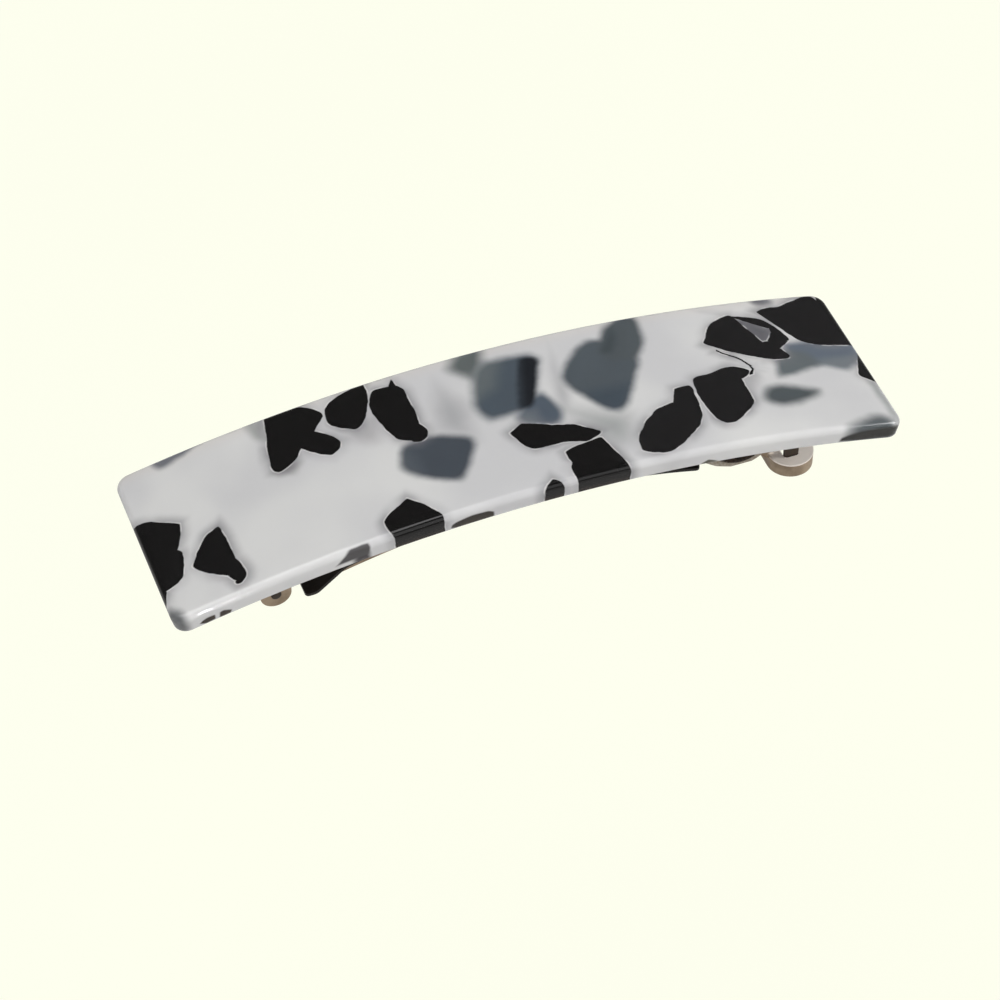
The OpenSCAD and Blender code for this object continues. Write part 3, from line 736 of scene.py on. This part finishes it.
def make_leg(side, name, body, node):
    """One leg of the latch: a folded strip with a flared finger pad and a barbed prong."""
    depth, barb, barb_h = 2.4, 0.6, 0.35
    top_r = BASE_R - BASE_T - LEG_GAP
    crown = REST_H - BASE_T - LEG_GAP
    inner, outer = LEG_Y, LEG_Y + LATCH_T

    def across(y0, y1):
        return (y0, y1) if side > 0 else (-y1, -y0)

    leg = prism(band(top_r, depth, 26.6, PRONG_X1, 0, crown), "y", *across(inner, outer))
    prong_top = crown - sag(top_r, PRONG_X1) - 0.4
    tip = REST_H - PRONG_DROP
    prong = [(PRONG_X0, prong_top), (PRONG_X0, tip + 0.2), (PRONG_X0 + 0.25, tip), (PRONG_X1 - 0.25, tip),
             (PRONG_X1, tip + 0.2), (PRONG_X1, prong_top)]
    combine("UNION", leg, prism(prong, "y", *across(inner + 0.01, outer - 0.01)))
    flare_top, flare_low, pad_low = REST_H - 7.6, REST_H - 10.5, REST_H - PAD_DROP
    pad = [(inner, REST_H - 4), (outer, REST_H - 4), (outer, flare_top), (PAD_Y, flare_low),
           (PAD_Y, pad_low), (PAD_Y - LATCH_T, pad_low), (PAD_Y - LATCH_T, flare_low - 0.25),
           (inner, flare_top - 0.4)]
    pad = prism([(side * y, z) for y, z in pad], "x", PAD_X0, PAD_X1)
    round_cut = prism(pad_outline(0.0, 48), "y", -9, 9)
    below = prism(band(top_r, 12, 20, 45, 0, crown), "y", -9, 9)
    combine("INTERSECT", pad, combine("INTERSECT", round_cut, below))
    combine("UNION", leg, pad)
    catch = REST_H - EYE_DROP - LEVER_T - 0.12
    hooked = [(inner + 0.02, REST_H - 16), (outer - 0.1, REST_H - 16), (outer - 0.1, catch),
              (outer + barb, catch), (outer + barb, catch - barb_h), (outer - 0.2, tip + 0.02),
              (inner + 0.02, tip + 0.02)]
    hooked = prism([(side * y, z) for y, z in hooked], "x", PRONG_X0 + 0.01, PRONG_X1 - 0.01)
    combine("UNION", leg, hooked)
    finish_piece(leg, name, body, LATCH, [node], edge=0.1)


def make_bridge():
    """The latch's fold, riveted under the base strip between the two legs."""
    half = LEG_Y - LEG_GAP
    bridge = prism(band(BASE_R - BASE_T, LATCH_T, 28.5, 37, 0, REST_H - BASE_T), "y", -half, half)
    combine("DIFFERENCE", bridge, post(RIVET_X, 0, BORE_R, 0, REST_H))
    finish_piece(bridge, "latch_fold", "clip_base", PLATED, ["latch_bridge"], edge=0.1)


def domed(x, z_flat, radius, height, down, shank_to):
    """A rivet: a domed head on a straight shank, turned about its own axis."""
    sign = -1 if down else 1
    profile = [(radius * math.cos(math.radians(t)), z_flat + sign * height * math.sin(math.radians(t)))
               for t in range(0, 90, 15)]
    profile = [(SHANK_R, shank_to), (SHANK_R, z_flat)] + profile
    bm = bmesh.new()
    steps = 32
    turns = [2 * math.pi * k / steps for k in range(steps)]
    rings = [[bm.verts.new((x + r * math.cos(t), r * math.sin(t), z)) for t in turns] for r, z in profile]
    tip = bm.verts.new((x, 0, z_flat + sign * height))
    for near, far in zip(rings, rings[1:]):
        for k in range(steps):
            n = (k + 1) % steps
            bm.faces.new((near[k], near[n], far[n], far[k]))
    for k in range(steps):
        bm.faces.new((rings[-1][k], rings[-1][(k + 1) % steps], tip))
    bm.faces.new(rings[0])
    bmesh.ops.recalc_face_normals(bm, faces=bm.faces)
    return solid(bm)


def make_fasteners():
    """The two fixing pins, the latch rivet's two heads and the hinge pin."""
    head = REST_H - sag(BASE_R, PIN_X + PIN_HEAD_R) - BASE_T
    for k, x in enumerate((-PIN_X, PIN_X)):
        pin = domed(x, head, PIN_HEAD_R, 0.5, True, REST_H + 1.3)
        name = f"fixing_pin_{k + 1}"
        finish_piece(pin, name, "clip_base", BRIGHT, ["fixing_pins"], edge=0)
    fold_r = BASE_R - BASE_T - LATCH_T
    low = REST_H - sag(fold_r, RIVET_X + RIVET_HEAD_R) - BASE_T - LATCH_T
    high = REST_H - sag(BASE_R, RIVET_X - RIVET_HEAD_R)
    rivet = domed(RIVET_X, low, RIVET_HEAD_R, 0.5, True, high)
    finish_piece(rivet, "latch_rivet_foot", "clip_base", BRIGHT, ["latch_rivet"], edge=0)
    rivet = domed(RIVET_X, high + 0.03, RIVET_HEAD_R, 0.35, False, low)
    finish_piece(rivet, "latch_rivet_head", "clip_base", BRIGHT, ["latch_rivet"], edge=0)
    foot = REST_H - HINGE_DROP
    half = BASE_W / 2 + 0.25
    pin = disc(-HINGE_X, foot, HINGE_R, -half, half)
    # painted shade: the pin takes the dark latch material to stand in for the shaded hollow between the
    # ears and the lever's knuckle
    finish_piece(pin, "hinge_pivot", "clip_base", LATCH, ["hinge_pin"], edge=0.16)


# ---------------------------------------------------------------- studio
def make_backdrop():
    """A pale floor, far enough below the clip for the open lever to hang clear, and a pale dome."""
    half, height = 2.0, -0.09
    bm = bmesh.new()
    corners = [(-half, -half), (half, -half), (half, half), (-half, half)]
    bm.faces.new([bm.verts.new((x, y, height)) for x, y in corners])
    floor = solid(bm)
    floor.name = "floor"
    bm = bmesh.new()
    bmesh.ops.create_uvsphere(bm, u_segments=48, v_segments=24, radius=half)
    dome = solid(bm)
    dome.name = "dome"
    dome.visible_shadow = False
    s = Shader("backdrop")
    tone = s.mix(s.noise(s.place(), 0.01, 2.0), (0.048, 0.05, 0.042), (0.05, 0.052, 0.044))
    s.set(Base_Color=tone, Roughness=0.9, Specular_IOR_Level=0.0, Emission_Strength=1.0,
          Emission_Color=colour((0.943, 0.952, 0.82)))
    for piece in (floor, dome):
        piece.data.materials.append(s.material)
        # only the camera sees them: both glow, and would light the clip and reflect in it
        piece.visible_diffuse = False
        piece.visible_glossy = False


def make_light(name, place, width, height, power):
    """A soft rectangular lamp that faces the clip."""
    lamp = bpy.data.lights.new(name, "AREA")
    lamp.shape = "RECTANGLE"
    lamp.size = width
    lamp.size_y = height
    lamp.energy = power
    obj = bpy.data.objects.new(name, lamp)
    obj.location = place
    obj.rotation_euler = (-Vector(place)).to_track_quat("-Z", "Y").to_euler()
    bpy.context.scene.collection.objects.link(obj)


def make_world():
    """Dim above, so that the dark chips stay dark, and pale below, as light comes back off a pale table."""
    world = bpy.data.worlds.new("studio")
    world.use_nodes = True
    tree = world.node_tree
    where = tree.nodes.new("ShaderNodeTexCoord")
    split = tree.nodes.new("ShaderNodeSeparateXYZ")
    blend = tree.nodes.new("ShaderNodeMapRange")
    starts, ends, below, above = -0.15, 0.1, 0.62, 0.15
    for k, value in enumerate((starts, ends, below, above), start=1):
        blend.inputs[k].default_value = value
    tree.links.new(where.outputs["Generated"], split.inputs[0])
    tree.links.new(split.outputs[2], blend.inputs[0])
    tree.links.new(blend.outputs[0], tree.nodes["Background"].inputs[1])
    tree.nodes["Background"].inputs[0].default_value = (1.0, 0.985, 0.965, 1.0)
    bpy.context.scene.world = world


def make_camera():
    """The view: from the front, a little to the left, at 45 degrees down."""
    azimuth, elevation = math.radians(-21.06), math.radians(44.86)
    distance, lens = 434.0, 121.0
    left, down = 1.575, 9.0                # from the plate's middle to the picture's
    back = Vector((math.sin(azimuth) * math.cos(elevation), -math.cos(azimuth) * math.cos(elevation),
                   math.sin(elevation)))
    right = Vector((-back.y, back.x, 0)).normalized()
    up = back.cross(right)
    centre = Vector((0, 0, REST_H))
    aim = centre - right * left - up * down
    place = centre + back * distance
    data = bpy.data.cameras.new("camera")
    data.lens = lens
    data.sensor_width = 36.0
    data.clip_start, data.clip_end = 0.01, 20.0
    camera = bpy.data.objects.new("camera", data)
    camera.location = place * MM
    camera.rotation_euler = (place - aim).to_track_quat("Z", "Y").to_euler()
    bpy.context.scene.collection.objects.link(camera)
    bpy.context.scene.camera = camera


def make_studio():
    """Backdrop, camera and soft lamps: above, in front, at the right, and a small one for the glint."""
    make_backdrop()
    make_camera()
    make_light("overhead", (-0.25, 0.2, 1.1), 0.9, 0.9, 7.0)
    make_light("front_window", (-0.2, -0.8, 0.75), 1.6, 0.9, 3.8)
    make_light("small_key", (-0.153, -0.844, 0.462), 0.07, 0.05, 1.8)
    make_light("side_fill", (0.95, -0.3, 0.6), 0.4, 0.5, 6.0)
    make_world()
    bpy.context.scene.view_settings.view_transform = "Standard"


make_plate()
make_base()
make_lever()
make_bow()
make_leg(-1, "latch_leg_front", "front_leg", "front_latch_leg")
make_leg(1, "latch_leg_rear", "rear_leg", "rear_latch_leg")
make_bridge()
make_fasteners()
make_studio()
